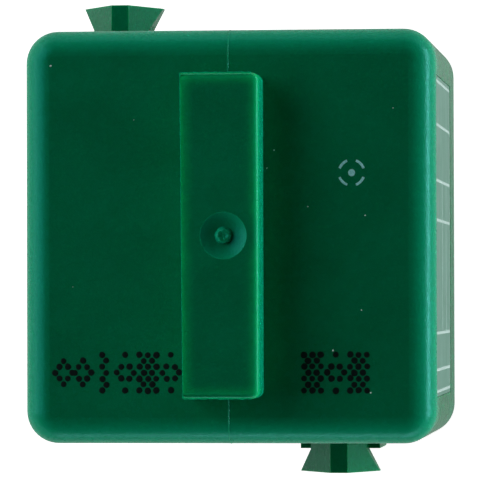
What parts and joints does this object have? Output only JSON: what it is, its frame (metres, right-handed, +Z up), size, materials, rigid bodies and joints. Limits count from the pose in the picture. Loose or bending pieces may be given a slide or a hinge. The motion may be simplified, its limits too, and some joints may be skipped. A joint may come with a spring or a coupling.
{
  "type": "plug-in cube relay",
  "caption": "Square plug-in power relay with a green moulded cover, a raised grip bar, dovetail carrier lugs and flat blade terminals below.",
  "frame": {"origin": "middle of the object's box at the tips of the blade terminals, which are its lowest points", "axes": "+Z up, from the blade tips to the grip bar; +X towards the wall with the label; +Y towards the contacts, with the yoke's hinge on the -Y side"},
  "size_m": [0.028, 0.0328, 0.0382],
  "materials": {
    "cover_plastic": "green moulded, spark-textured satin",
    "label_film": "pale green printed film with light rules",
    "base_plastic": "black moulded, satin",
    "bobbin_plastic": "natural moulded",
    "tinned_brass": "tin plated, drawn",
    "plated_steel": "zinc plated, stamped",
    "spring_steel": "drawn spring wire",
    "bright_rivet": "pressed rivet head",
    "enamelled_copper": "enamelled copper wire, glossy",
    "bare_copper_braid": "bare copper braid",
    "copper_alloy": "rolled copper alloy",
    "silver_alloy": "silver alloy contact, satin",
    "tinned_wire": "tinned copper wire",
    "resistor_body": "lacquered ceramic with plain rings"
  },
  "bodies": {
    "base": {"base_plate": "base_plastic", "common_terminal": "tinned_brass", "normally_open_terminal": "tinned_brass", "normally_closed_terminal": "tinned_brass", "coil_terminal_left": "tinned_brass", "coil_terminal_right": "tinned_brass", "terminal_rivets": "bright_rivet", "yoke": "plated_steel", "coil_core": "plated_steel", "coil_bobbin": "bobbin_plastic", "coil_winding": "enamelled_copper", "coil_lead_wires": "enamelled_copper", "normally_open_contact": "silver_alloy", "normally_closed_contact": "silver_alloy", "return_spring": "spring_steel", "shunt_braid": "bare_copper_braid", "suppression_resistor": "resistor_body", "resistor_leads": "tinned_wire"},
    "armature": {"armature": "plated_steel", "contact_blade": "copper_alloy", "armature_rivets": "bright_rivet", "moving_contact": "silver_alloy"},
    "cover": {"cover": "cover_plastic", "side_label": "label_film"}
  },
  "joints": [
    {"name": "armature_pull_in", "type": "hinge", "parent": "base", "child": "armature", "pos_m": [0, -0.0093, 0.0279], "axis": [-1, 0, 0], "range_deg": [0, 3.2], "stiffness_Nm_per_rad": 0.02, "springref_deg": -28.65, "deforming": ["return_spring", "shunt_braid"]},
    {"name": "cover_lift_off", "type": "slide", "parent": "base", "child": "cover", "axis": [0, 0, 1], "range_m": [0, 0.026]}
  ]
}
